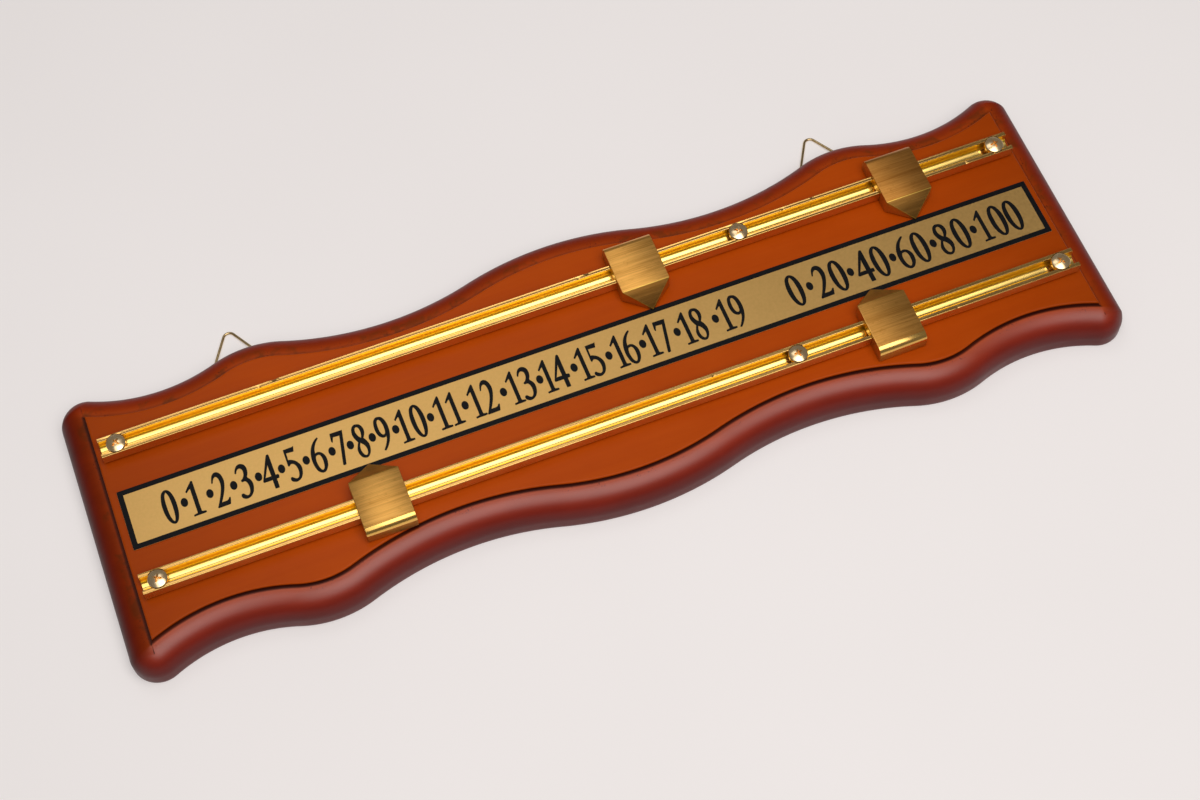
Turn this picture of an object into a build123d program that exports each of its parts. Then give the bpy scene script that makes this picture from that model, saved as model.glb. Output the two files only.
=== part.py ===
from build123d import *
import math
import os

# Two-player snooker scoreboard that hangs on a wall. Millimetres.
# Origin: centre of the flat back. X runs along the board, Y towards the hanging edge, Z out of the face.

# ---- backboard ----
board_thickness = 15.0
face_half_length = 179.8  # the raised face ends in straight lines at plus and minus this X
rim_width = 9.6  # from the edge of the raised face out to the side of the board
round_radius = 9.0  # quarter round of the rim; the rest of the rim width is a flat shoulder
long_step = 1.2  # drop from the raised face to the shoulder along the wavy edges
end_step = 2.0  # the same drop at the two straight ends, which are cut deeper
back_chamfer = 0.5

# The wavy edge is a chain of tangent arcs through these high and low points, mirrored at X = 0.
# Each entry is the X of a high or low point and how far the raised face reaches there in Y.
wave_points = [(0.0, 46.4), (65.0, 37.4), (117.2, 46.2), (151.4, 40.4)]
middle_arc_radius = 112.0

# ---- fittings on the face: the plate and both rails share this middle ----
fittings_x = 0.4

# ---- number plate ----
plate_length = 353.6
plate_height = 23.8
plate_thickness = 0.4
plate_corner = 0.4

# ---- rails, a U channel with an undercut foot that the sliders hook under ----
rail_length = 355.0
rail_width = 8.0
rail_height = 5.5
rail_wall = 1.5
rail_floor = 1.5
rail_foot_width = 6.6
rail_foot_height = 1.1
rail_edge_round = 0.2
upper_rail_y = 28.0
lower_rail_y = -27.4

# ---- rail screws ----
screw_x_offsets = (-171.5, 66.7, 171.5)  # from the middle of the rail
screw_head_radius = 3.5
screw_head_height = 2.6
screw_head_rim = 1.0  # straight part of the head under its dome
screw_shank_radius = 1.75
screw_length = 12.7
screw_tip_length = 3.0
screw_seat_depth = 1.6  # depth of the counterbore in the channel walls
screw_seat_clearance = 0.25
pilot_clearance = 0.03

# ---- sliders: U is across the rail, positive away from the number plate ----
slider_width = 18.4
slider_top = 7.0  # above the raised face
slider_front = 9.5  # rail centre to the top front edge
slider_back = 11.4  # rail centre to the rear wall
slider_tip = 16.9  # rail centre to the point
slider_tip_top = 1.25
slider_tip_bottom = 0.75  # rides over the number plate
slider_bottom = 0.3
slider_back_round = 1.5
slider_edge_chamfer = 0.2
slide_gap = 0.1  # between slider and rail on every side
slider_tongue_reach = 2.9  # how far the tongue dips into the channel
slider_lip_top = 1.0
slider_positions = {
    "upper_points_slider": (26.5, upper_rail_y),
    "upper_twenties_slider": (132.0, upper_rail_y),
    "lower_points_slider": (-90.3, lower_rail_y),
    "lower_twenties_slider": (103.6, lower_rail_y),
}

# ---- wall hangers: a triangular wire ring held by a folded strap in a pocket in the back ----
hanger_positions = {"left": -121.9, "right": 114.2}
ring_wire_radius = 0.5
ring_side = 22.0  # side of the equilateral triangle along the wire's centre line, corners unrounded
ring_bend_radius = 2.2
ring_gap = 0.6  # the wire's two ends meet inside the strap
ring_point_y = 70.3  # unrounded top corner of the ring
pocket_depth = 3.0
pocket_width = 26.0
strap_thickness = 0.6
strap_width = 8.0
strap_length = 13.0
strap_seam = 0.05  # between the two folded leaves
eye_clearance = 0.05
hanger_screw_offset = 7.5  # ring axis to screw
hanger_head_radius = 2.5
hanger_head_height = 1.5
hanger_head_rim = 0.5
hanger_shank_radius = 1.4
hanger_screw_length = 10.0

# ---- worked out from the above ----
face_z = board_thickness
rail_top_z = face_z + rail_height
screw_x_positions = [fittings_x + offset for offset in screw_x_offsets]
eye_inner = ring_wire_radius + eye_clearance
eye_outer = eye_inner + strap_thickness
ring_axis_z = pocket_depth - eye_outer
ring_height = ring_side * math.sqrt(3) / 2
ring_axis_y = ring_point_y - ring_height
pocket_end_y = ring_axis_y - strap_length - 1.0
hanger_head_z = pocket_depth - 2 * strap_thickness - strap_seam
# the ring's point rests on the table while its hinge bar is held a little higher
ring_droop = math.degrees(math.asin((ring_axis_z - ring_wire_radius) / (ring_height - ring_bend_radius)))


def wave_arcs(offset):
    """Centre and radius of each arc from X = 0 outwards, for the raised edge moved outwards by offset."""
    radii = [middle_arc_radius]
    for (x0, y0), (x1, y1) in zip(wave_points, wave_points[1:]):
        rise = abs(y1 - y0)
        # two tangent arcs of opposite curvature share this sum of radii
        radii.append(((x1 - x0) ** 2 + rise**2) / (2 * rise) - radii[-1])
    arcs = []
    for index, ((x, y), radius) in enumerate(zip(wave_points, radii)):
        crest = index % 2 == 0
        centre_y = y - radius if crest else y + radius
        arcs.append((x, centre_y, radius + offset if crest else radius - offset, crest))
    return arcs


def on_arc(arc, x):
    """Point of an arc at a given X."""
    centre_x, centre_y, radius, crest = arc
    height = math.sqrt(radius**2 - (x - centre_x) ** 2)
    return (x, centre_y + height if crest else centre_y - height)


def wavy_side(offset):
    """Edges of the right half of the upper wavy edge, from X = 0 to the end of the raised face."""
    arcs = wave_arcs(offset)
    joints = [on_arc(arcs[0], 0.0)]
    for (x0, y0, r0, _), (x1, y1, r1, _) in zip(arcs, arcs[1:]):
        share = r0 / (r0 + r1)
        joints.append((x0 + (x1 - x0) * share, y0 + (y1 - y0) * share))
    last_x, _, last_radius, _ = arcs[-1]
    # the outward offset of the corner lies back along the normal of the last arc
    end_x = last_x + (face_half_length - last_x) * last_radius / (last_radius + offset)
    joints.append(on_arc(arcs[-1], end_x))
    edges = []
    for arc, start, end in zip(arcs, joints, joints[1:]):
        edges.append(ThreePointArc(start, on_arc(arc, (start[0] + end[0]) / 2), end))
    return edges, joints[-1]


def board_outline(offset):
    """Closed face of the raised outline, moved outwards by offset with round corners."""
    half, end_point = wavy_side(offset)
    if offset > 0:
        corner_y = on_arc(wave_arcs(0.0)[-1], face_half_length)[1]
        end_x = face_half_length + offset
        start_angle = math.atan2(end_point[1] - corner_y, end_point[0] - face_half_length)
        middle = (
            face_half_length + offset * math.cos(start_angle / 2),
            corner_y + offset * math.sin(start_angle / 2),
        )
        half.append(ThreePointArc(end_point, middle, (end_x, corner_y)))
        end_point = (end_x, corner_y)
    half.append(Line(end_point, (end_point[0], 0.0)))
    upper = half + [edge.mirror(Plane.YZ) for edge in half]
    whole = upper + [edge.mirror(Plane.XZ) for edge in upper]
    return make_face(whole)


def end_cutter(side):
    """What the deeper cut takes off one straight end: everything outside a stepped quarter round."""
    shoulder_x = face_half_length + rim_width - round_radius
    shoulder_z = face_z - end_step
    side_x = face_half_length + rim_width
    low_z = shoulder_z - round_radius
    far_x = side_x + 5.0
    half_turn = round_radius * math.sqrt(0.5)
    over_z = face_z + 1.0
    with BuildPart() as cutter:
        with BuildSketch(Plane.XZ):
            with BuildLine():
                Polyline((shoulder_x, shoulder_z), (face_half_length, shoulder_z), (face_half_length, over_z))
                Polyline((face_half_length, over_z), (far_x, over_z), (far_x, low_z), (side_x, low_z))
                ThreePointArc((side_x, low_z), (shoulder_x + half_turn, low_z + half_turn), (shoulder_x, shoulder_z))
            make_face()
        extrude(amount=80.0, both=True)
    return cutter.part if side > 0 else cutter.part.mirror(Plane.YZ)


def make_backboard():
    rim_face = board_outline(rim_width)
    rim_top = face_z - long_step
    rim = extrude(rim_face, rim_top)
    rim = fillet(rim.edges().group_by(Axis.Z)[-1], round_radius)
    rim = chamfer(rim.edges().group_by(Axis.Z)[0], back_chamfer)
    raised = Pos(0, 0, rim_top - 1.0) * extrude(board_outline(0.0), long_step + 1.0)
    board = rim + raised
    for side in (1, -1):
        board -= end_cutter(side)
    for x in screw_x_positions:
        for y in (upper_rail_y, lower_rail_y):
            depth = screw_length - (rail_height - screw_seat_depth) + 0.5
            board -= Pos(x, y, face_z - depth / 2) * Cylinder(screw_shank_radius + pilot_clearance, depth)
    for x in hanger_positions.values():
        pocket_length = 80.0 - pocket_end_y
        board -= Pos(x, pocket_end_y + pocket_length / 2, pocket_depth / 2) * Box(
            pocket_width, pocket_length, pocket_depth
        )
        depth = hanger_head_z + hanger_screw_length + 0.5
        hole = Cylinder(hanger_shank_radius + pilot_clearance, depth)
        board -= Pos(x, ring_axis_y - hanger_screw_offset, depth / 2) * hole
    return board


def make_number_plate():
    outline = RectangleRounded(plate_length, plate_height, plate_corner)
    return Pos(fittings_x, 0, face_z) * extrude(outline, plate_thickness)


def rail_section():
    """U channel with its foot narrower than its flanks, in the YZ plane, standing on the raised face."""
    half = rail_width / 2
    foot = rail_foot_width / 2
    inner = half - rail_wall
    right = [
        (0, 0),
        (foot, 0),
        (foot, rail_foot_height),
        (half, rail_foot_height),
        (half, rail_height),
        (inner, rail_height),
        (inner, rail_floor),
        (0, rail_floor),
    ]
    left = [(-y, z) for y, z in reversed(right[1:-1])]
    return make_face(Polyline(*right, *left, close=True))


def make_rail(y):
    section = Plane.YZ * rail_section()
    rail = Pos(-rail_length / 2, 0, 0) * extrude(section, rail_length, dir=(1, 0, 0))
    top_edges = rail.edges().filter_by(Axis.X).group_by(Axis.Z)[-1]
    rail = fillet(top_edges, rail_edge_round)
    seat_radius = screw_head_radius + screw_seat_clearance
    for x in screw_x_offsets:
        seat_height = screw_seat_depth + 1.0
        rail -= Pos(x, 0, rail_height + 1.0 - seat_height / 2) * Cylinder(seat_radius, seat_height)
        rail -= Pos(x, 0, rail_floor / 2) * Cylinder(screw_shank_radius + 0.1, rail_floor * 2)
    return Pos(fittings_x, y, face_z) * rail


def cross_head_screw(head_radius, head_height, head_rim, shank_radius, length):
    """Domed cross-head wood screw, head up, with the underside of its head at Z = 0."""
    dome_rise = head_height - head_rim
    dome_radius = (head_radius**2 + dome_rise**2) / (2 * dome_rise)
    mid_x = head_radius * 0.6
    mid_z = head_height - dome_radius + math.sqrt(dome_radius**2 - mid_x**2)
    with BuildPart() as screw:
        with BuildSketch(Plane.XZ):
            with BuildLine():
                ThreePointArc((0, head_height), (mid_x, mid_z), (head_radius, head_rim))
                Polyline(
                    (head_radius, head_rim),
                    (head_radius, 0),
                    (shank_radius, 0),
                    (shank_radius, screw_tip_length - length),
                    (0, -length),
                    (0, head_height),
                )
            make_face()
        revolve(axis=Axis.Z)
    slot_long = head_radius * 1.15
    slot_wide = head_radius * 0.26
    slot_deep = head_height * 0.55
    recess = Pos(0, 0, head_height - slot_deep) * extrude(Rectangle(slot_long * 0.5, slot_wide), slot_deep, taper=-20)
    result = screw.part
    for turn in (0, 90):
        result -= Rot(0, 0, turn) * recess
    return result


def make_rail_screws():
    seat_z = rail_top_z - screw_seat_depth
    screws = []
    for row, y in enumerate((upper_rail_y, lower_rail_y)):
        for column, x in enumerate(screw_x_positions):
            turn = 20 + 37 * (column + 3 * row)  # each screw stops at its own angle
            screw = cross_head_screw(
                screw_head_radius, screw_head_height, screw_head_rim, screw_shank_radius, screw_length
            )
            screws.append(Pos(x, y, seat_z) * Rot(0, 0, turn) * screw)
    return Compound(children=screws)


def make_slider():
    """Brass pointer over a rail at the origin, with its point towards negative Y."""
    with BuildPart() as slider:
        with BuildSketch(Plane.YZ):
            with BuildLine():
                Polyline(
                    (-slider_front, slider_bottom),
                    (slider_back, slider_bottom),
                    (slider_back, slider_top),
                    (-slider_front, slider_top),
                    (-slider_tip, slider_tip_top),
                    (-slider_tip, slider_tip_bottom),
                    (-slider_front, slider_tip_bottom),
                    close=True,
                )
            make_face()
        extrude(amount=slider_width / 2, both=True)
        back_edge = slider.edges().filter_by(Axis.X).group_by(Axis.Z)[-1].sort_by(Axis.Y)[-1]
        fillet(back_edge, slider_back_round)
    body = slider.part
    half = slider_width / 2
    with BuildPart() as corner:
        with BuildSketch():
            with BuildLine():
                Polyline(
                    (half, -slider_front),
                    (0, -slider_tip),
                    (0, -slider_tip - 5),
                    (half + 5, -slider_tip - 5),
                    (half + 5, -slider_front),
                    close=True,
                )
            make_face()
        extrude(amount=slider_top + 2)
    body -= corner.part
    body -= corner.part.mirror(Plane.YZ)

    flank = rail_width / 2 + slide_gap
    foot = rail_foot_width / 2 + slide_gap
    tongue = rail_width / 2 - rail_wall - slide_gap
    roof = rail_height + slide_gap
    tongue_bottom = roof - slider_tongue_reach
    with BuildPart() as slot:
        with BuildSketch(Plane.YZ):
            with BuildLine():
                Polyline(
                    (foot, 0),
                    (foot, slider_lip_top),
                    (flank, slider_lip_top),
                    (flank, roof),
                    (tongue, roof),
                    (tongue, tongue_bottom),
                    (-tongue, tongue_bottom),
                    (-tongue, roof),
                    (-flank, roof),
                    (-flank, slider_lip_top),
                    (-foot, slider_lip_top),
                    (-foot, 0),
                    close=True,
                )
            make_face()
        extrude(amount=slider_width, both=True)
    body -= slot.part
    front_edge = body.edges().filter_by(Axis.X).group_by(Axis.Z)[-1].sort_by(Axis.Y)[0]
    return chamfer(front_edge, slider_edge_chamfer)


def place_slider(slider, x, y):
    turn = 0 if y > 0 else 180  # both players' pointers point at the number plate
    return Pos(x, y, face_z) * Rot(0, 0, turn) * slider


def make_ring(x):
    """Open wire triangle, lying out past the board's edge with its point on the table."""
    half = ring_side / 2
    path = FilletPolyline(
        (ring_gap / 2, 0, 0),
        (half, 0, 0),
        (0, ring_height, 0),
        (-half, 0, 0),
        (-ring_gap / 2, 0, 0),
        radius=ring_bend_radius,
    )
    section = Plane(origin=path @ 0, z_dir=path % 0) * Circle(ring_wire_radius)
    ring = sweep(section, path=path)
    return Pos(x, ring_axis_y, ring_axis_z) * Rot(-ring_droop, 0, 0) * ring


def make_clip(x):
    """Strap folded round the ring's bar, its two leaves flat against the pocket."""
    upper_z = eye_outer - strap_thickness / 2
    lower_z = upper_z - strap_thickness - strap_seam
    clip = Rot(0, 90, 0) * Cylinder(eye_outer, strap_width)
    for z in (upper_z, lower_z):
        clip += Pos(0, -strap_length / 2, z) * Box(strap_width, strap_length, strap_thickness)
    clip -= Rot(0, 90, 0) * Cylinder(eye_inner, strap_width + 1)
    clip -= Pos(0, -hanger_screw_offset, 0) * Cylinder(hanger_shank_radius + 0.1, 10)
    return Pos(x, ring_axis_y, ring_axis_z) * clip


def make_hanger_screws():
    screws = []
    for x in hanger_positions.values():
        screw = cross_head_screw(
            hanger_head_radius, hanger_head_height, hanger_head_rim, hanger_shank_radius, hanger_screw_length
        )
        screws.append(Pos(x, ring_axis_y - hanger_screw_offset, hanger_head_z) * Rot(180, 0, 0) * screw)
    return Compound(children=screws)


nodes = {
    "backboard": make_backboard(),
    "number_plate": make_number_plate(),
    "upper_rail": make_rail(upper_rail_y),
    "lower_rail": make_rail(lower_rail_y),
    "rail_screws": make_rail_screws(),
    "hanger_screws": make_hanger_screws(),
}
slider_shape = make_slider()
for slider_name, (slider_x, slider_y) in slider_positions.items():
    nodes[slider_name] = place_slider(slider_shape, slider_x, slider_y)
for side_name, hanger_x in hanger_positions.items():
    nodes[side_name + "_hanger_ring"] = make_ring(hanger_x)
    nodes[side_name + "_hanger_clip"] = make_clip(hanger_x)

os.makedirs("parts", exist_ok=True)
for node_name, shape in nodes.items():
    export_step(shape, "parts/" + node_name + ".step")
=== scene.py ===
import math

import bmesh
import bpy
import numpy as np
from mathutils import Matrix, Vector


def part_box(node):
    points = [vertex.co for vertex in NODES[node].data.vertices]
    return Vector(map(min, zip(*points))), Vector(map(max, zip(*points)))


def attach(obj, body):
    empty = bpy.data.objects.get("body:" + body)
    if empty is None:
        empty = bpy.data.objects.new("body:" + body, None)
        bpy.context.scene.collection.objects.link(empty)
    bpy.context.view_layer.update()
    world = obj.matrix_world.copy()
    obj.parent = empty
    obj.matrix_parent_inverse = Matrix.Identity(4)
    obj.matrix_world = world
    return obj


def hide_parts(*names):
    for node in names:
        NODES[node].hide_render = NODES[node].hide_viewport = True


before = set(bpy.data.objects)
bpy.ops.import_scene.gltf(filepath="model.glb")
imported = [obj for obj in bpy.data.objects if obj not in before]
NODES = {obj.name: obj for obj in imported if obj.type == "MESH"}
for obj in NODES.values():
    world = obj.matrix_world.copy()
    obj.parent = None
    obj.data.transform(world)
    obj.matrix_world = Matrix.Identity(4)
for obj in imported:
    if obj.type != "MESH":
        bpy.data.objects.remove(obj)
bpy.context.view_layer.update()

MM = 0.001

# Dimensions of the CAD part, in millimetres. Origin at the centre of the flat back, Z out of the face.
FACE_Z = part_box("number_plate")[0].z / MM
FACE_HALF = 179.8  # half the raised face's length
RIM = 9.6  # width of the rim outside the raised face
ROUND = 9.0  # radius of the rim's quarter round
LONG_STEP = 1.2  # drop from the face to the rim along the wavy edges
END_STEP = 2.0  # the same at the straight ends
WAVE = [(0.0, 46.4), (65.0, 37.4), (117.2, 46.2), (151.4, 40.4)]  # crests and hollows of the face's edge
MIDDLE_RADIUS = 112.0  # radius of the middle crest
FITTINGS_X = 0.4  # how far the plate and the rails sit to the right of the middle
RAIL_Y = {"upper": 28.0, "lower": -27.4}
RAIL_HEIGHT = 5.5
RAIL_TOP_Z = FACE_Z + RAIL_HEIGHT


# ---------------------------------------------------------------- materials
class Shader:
    """Short calls for building one node material."""

    def __init__(self, name):
        self.material = bpy.data.materials.new(name)
        self.material.use_nodes = True
        self.tree = self.material.node_tree
        self.bsdf = next(n for n in self.tree.nodes if n.type == "BSDF_PRINCIPLED")
        self.coords = self.tree.nodes.new("ShaderNodeTexCoord")

    def set(self, **values):
        """Constants on the shader's own sockets, with _ for each space in a name."""
        for socket, value in values.items():
            self.bsdf.inputs[socket.replace("_", " ")].default_value = value
        return self

    def link(self, source, target):
        self.tree.links.new(source, target)

    def mapped(self, scale):
        """Object coordinates stretched by scale per metre on each axis."""
        node = self.tree.nodes.new("ShaderNodeMapping")
        node.inputs["Scale"].default_value = scale
        self.link(self.coords.outputs["Object"], node.inputs["Vector"])
        return node.outputs["Vector"]

    def noise(self, scale, detail=3.0, rough=0.55, distortion=0.0):
        node = self.tree.nodes.new("ShaderNodeTexNoise")
        node.inputs["Scale"].default_value = 1.0
        node.inputs["Detail"].default_value = detail
        node.inputs["Roughness"].default_value = rough
        node.inputs["Distortion"].default_value = distortion
        self.link(self.mapped(scale), node.inputs["Vector"])
        return node.outputs["Fac"]

    def ramp(self, fac, stops):
        """A colour ramp with stops as (position, colour or grey)."""
        node = self.tree.nodes.new("ShaderNodeValToRGB")
        elements = node.color_ramp.elements
        while len(elements) < len(stops):
            elements.new(0.5)
        for element, (position, colour) in zip(elements, stops):
            element.position = position
            if isinstance(colour, (int, float)):
                colour = (colour,) * 3
            element.color = (*colour, 1.0)
        self.link(fac, node.inputs["Fac"])
        return node.outputs["Color"]

    def mix(self, fac, a, b, mode="MIX"):
        """Colour mix; the numbers are the node's sockets for the factor and the two colours."""
        node = self.tree.nodes.new("ShaderNodeMix")
        node.data_type = "RGBA"
        node.blend_type = mode
        for index, value in ((0, fac), (6, a), (7, b)):
            if hasattr(value, "links"):
                self.link(value, node.inputs[index])
            elif index == 0:
                node.inputs[0].default_value = value
            else:
                node.inputs[index].default_value = (*value, 1.0)
        return node.outputs[2]

    def math(self, kind, a, b):
        node = self.tree.nodes.new("ShaderNodeMath")
        node.operation = kind
        for index, value in ((0, a), (1, b)):
            if hasattr(value, "links"):
                self.link(value, node.inputs[index])
            else:
                node.inputs[index].default_value = value
        return node.outputs[0]

    def axis(self, letter):
        """One object coordinate in metres."""
        node = self.tree.nodes.new("ShaderNodeSeparateXYZ")
        self.link(self.coords.outputs["Object"], node.inputs["Vector"])
        return node.outputs[letter]

    def attribute(self, name):
        node = self.tree.nodes.new("ShaderNodeAttribute")
        node.attribute_name = name
        return node.outputs["Fac"]

    def bump(self, layers):
        """Bump layers as (height, depth in millimetres), one after another."""
        last = None
        for height, depth in layers:
            node = self.tree.nodes.new("ShaderNodeBump")
            node.inputs["Strength"].default_value = 1.0
            node.inputs["Distance"].default_value = depth * MM
            self.link(height, node.inputs["Height"])
            if last:
                self.link(last, node.inputs["Normal"])
            last = node.outputs["Normal"]
        self.link(last, self.bsdf.inputs["Normal"])

    def use(self, socket, source):
        self.link(source, self.bsdf.inputs[socket])


# Colour of the painted shade laid into the groove at the foot of the step.
GROOVE_SHADE = (0.030, 0.003, 0.001)


def face_wood_material():
    """Orange stained wood under a thin lacquer, with painted shade darkening it towards both ends."""
    s = Shader("stained_face").set(IOR=1.5, Specular_IOR_Level=0.09)
    mottle = s.noise((45, 90, 90), 4.0, 0.6)
    grain = s.noise((14, 420, 420), 3.0, 0.6, 0.4)
    face = s.ramp(mottle, [(0.25, (0.455, 0.058, 0.0003)), (0.75, (0.500, 0.069, 0.0008))])
    fine_grain = s.ramp(grain, [(0.35, (0.370, 0.040, 0.0002)), (0.65, (0.530, 0.082, 0.0012))])
    face = s.mix(0.10, face, fine_grain)
    # Painted shade: the colour darkens towards both ends, standing in for the light falling off there.
    ends = s.ramp(s.math("ABSOLUTE", s.axis("X"), 0.0), [(0.115, 1.0), (0.180, 0.76)])
    face = s.mix(1.0, face, ends, "MULTIPLY")
    # Painted shade in the groove at the step's foot, taken from the step mask.
    s.use("Base Color", s.mix(s.attribute("step"), face, GROOVE_SHADE))
    s.use("Roughness", s.ramp(mottle, [(0.3, 0.30), (0.7, 0.38)]))
    s.bump([(grain, 0.001)])
    return s.material


def rim_wood_material():
    """The rounded rim: orange beside the step, deep red further out, small dark specks and smudges, with
    painted shade in the step's groove and painted light and shade by side.
    """
    s = Shader("stained_rim").set(IOR=1.5, Specular_IOR_Level=0.12, Coat_Roughness=0.36)
    rim = s.attribute("rim")
    edge = s.ramp(rim, [
        (0.00, (0.430, 0.056, 0.001)), (0.12, (0.390, 0.046, 0.001)), (0.30, (0.325, 0.031, 0.001)),
        (0.60, (0.255, 0.016, 0.001)), (0.78, (0.185, 0.009, 0.001)), (1.00, (0.105, 0.004, 0.002)),
    ])
    streaks = s.ramp(s.noise((40, 160, 160), 4.0, 0.6), [(0.3, 0.86), (0.7, 1.08)])
    edge = s.mix(1.0, edge, streaks, "MULTIPLY")
    specks = s.ramp(s.noise((1500, 1500, 1500), 2.0, 0.5), [(0.62, 0.0), (0.67, 1.0)])
    patches = s.ramp(s.noise((130, 130, 130), 2.0, 0.5), [(0.47, 0.0), (0.60, 1.0)])
    near_step = s.ramp(rim, [(0.02, 1.0), (0.20, 0.7), (0.36, 0.0)])
    spot = s.mix(1.0, s.mix(1.0, specks, patches, "MULTIPLY"), near_step, "MULTIPLY")
    edge = s.mix(spot, edge, (0.100, 0.006, 0.002))
    smudges = s.ramp(s.noise((110, 110, 110), 3.0, 0.65, 0.5), [(0.50, 0.0), (0.62, 1.0)])
    inner_edge = s.ramp(rim, [(0.0, 0.55), (0.30, 0.45), (0.45, 0.0)])
    smudge = s.math("SUBTRACT", s.mix(1.0, smudges, inner_edge, "MULTIPLY"), s.attribute("gloss"))
    edge = s.mix(s.math("MAXIMUM", smudge, 0.0), edge, (0.110, 0.030, 0.003))
    # Painted light and shade by side: lighter along the near side, darker on the far side and both ends,
    # most on the left.
    edge = s.mix(1.0, edge, s.attribute("painted_side_shade"), "MULTIPLY")
    # Painted shade in the groove at the step's foot, taken from the step mask.
    s.use("Base Color", s.mix(s.attribute("step"), edge, GROOVE_SHADE))
    s.use("Coat Weight", s.attribute("gloss"))
    satin = s.ramp(s.noise((300, 300, 300), 3.0, 0.6), [(0.3, 0.36), (0.7, 0.43)])
    s.use("Roughness", s.mix(spot, satin, (0.7, 0.7, 0.7)))
    s.bump([(s.noise((700, 700, 700), 2.0), 0.006)])
    return s.material


def plate_material():
    """Satin gold metal with a faint cloud and a fine mottle."""
    s = Shader("satin_gold").set(Metallic=1.0)
    mottle = s.noise((900, 900, 900), 3.0, 0.6)
    cloud = s.noise((18, 40, 40), 3.0, 0.5)
    fine = s.ramp(mottle, [(0.35, (0.68, 0.405, 0.127)), (0.65, (0.75, 0.455, 0.152))])
    broad = s.ramp(cloud, [(0.3, (0.67, 0.395, 0.122)), (0.7, (0.76, 0.465, 0.157))])
    s.use("Base Color", s.mix(0.4, fine, broad))
    s.use("Roughness", s.ramp(mottle, [(0.3, 0.36), (0.7, 0.44)]))
    s.bump([(mottle, 0.002)])
    return s.material


def ink_material():
    """Black print, slightly worn."""
    s = Shader("black_print").set(Specular_IOR_Level=0.12)
    wear = s.noise((500, 500, 500), 3.0, 0.6)
    s.use("Base Color", s.ramp(wear, [(0.3, (0.0035, 0.0035, 0.0045)), (0.7, (0.0060, 0.0060, 0.0070))]))
    s.use("Roughness", s.ramp(wear, [(0.3, 0.42), (0.7, 0.55)]))
    return s.material


def drawn_brass(name, dark, light, rough):
    """Extruded brass with long faint die lines along X."""
    s = Shader(name).set(Metallic=1.0)
    lines = s.noise((5, 1500, 1500), 1.0, 0.5)
    cloud = s.noise((60, 60, 60), 3.0, 0.6)
    line_colour, cloud_colour = (s.ramp(pattern, [(0.3, dark), (0.7, light)]) for pattern in (lines, cloud))
    s.use("Base Color", s.mix(0.5, line_colour, cloud_colour))
    s.use("Roughness", s.ramp(cloud, [(0.3, rough[0]), (0.7, rough[1])]))
    s.bump([(lines, 0.0006)])
    return s.material


def brushed_brass(name, dark, light, rough, light_tone):
    """Brass linished along X: broad dark bands under fine scratches. Its last argument scales its
    brightness, which paints in how brightly each piece was lit.
    """
    s = Shader(name).set(Metallic=1.0)
    red, green, blue = light_tone, light_tone**1.35, light_tone**1.6
    dark, light = ((red * r, green * g, blue * b) for r, g, b in (dark, light))
    bands = s.noise((12, 420, 420), 3.0, 0.6, 0.15)
    lines = s.noise((30, 1500, 1500), 3.0, 0.65)
    hairs = s.noise((120, 5200, 5200), 2.0, 0.6)
    stain = s.ramp(s.noise((500, 700, 700), 3.0, 0.6), [(0.60, 0.0), (0.72, 1.0)])
    band_colour = s.ramp(bands, [(0.32, dark), (0.62, light)])
    colour = s.mix(0.5, band_colour, s.ramp(lines, [(0.32, dark), (0.66, light)]))
    colour = s.mix(0.3, colour, s.ramp(hairs, [(0.35, dark), (0.60, light)]))
    s.use("Base Color", s.mix(s.math("MULTIPLY", stain, 0.35), colour, dark))
    s.use("Roughness", s.ramp(lines, [(0.3, rough[0]), (0.7, rough[1])]))
    s.bump([(lines, 0.003), (hairs, 0.0015)])
    return s.material


def even_metal(name, dark, light, rough):
    """Metal with a fine even mottle and no direction."""
    s = Shader(name).set(Metallic=1.0)
    mottle = s.noise((400, 400, 400), 3.0, 0.6)
    s.use("Base Color", s.ramp(mottle, [(0.3, dark), (0.7, light)]))
    s.use("Roughness", s.ramp(mottle, [(0.3, rough[0]), (0.7, rough[1])]))
    s.bump([(mottle, 0.0008)])
    return s.material


def floor_material():
    """Pale table with a small glow of its own, which keeps the shadows soft."""
    s = Shader("pale_table").set(Specular_IOR_Level=0.1, Emission_Strength=0.37)
    cloud = s.noise((6, 6, 6), 2.0)
    s.use("Base Color", s.ramp(cloud, [(0.3, (0.585, 0.555, 0.545)), (0.7, (0.600, 0.570, 0.560))]))
    s.use("Emission Color", s.ramp(cloud, [(0.3, (0.985, 0.930, 0.915)), (0.7, (1.0, 0.945, 0.930))]))
    s.use("Roughness", s.ramp(cloud, [(0.3, 0.7), (0.7, 0.8)]))
    return s.material


FACE_WOOD = face_wood_material()
RIM_WOOD = rim_wood_material()
PLATE = plate_material()
INK = ink_material()
# The rail's four zones are one brass in four tones, each set to how brightly that zone was lit: lit and
# shaded copies of one material, lightest on the floor and darkest on the wall tops.
RAIL_TOP = drawn_brass("rail_top", (0.66, 0.37, 0.10), (0.80, 0.47, 0.15), (0.13, 0.20))
RAIL_INSIDE = drawn_brass("rail_inside", (0.88, 0.58, 0.05), (0.95, 0.65, 0.07), (0.28, 0.36))
RAIL_FLOOR = drawn_brass("rail_floor", (0.93, 0.60, 0.15), (0.97, 0.66, 0.19), (0.14, 0.20))
RAIL_OUTSIDE = drawn_brass("rail_outside", (0.74, 0.52, 0.16), (0.88, 0.64, 0.22), (0.26, 0.34))
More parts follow.
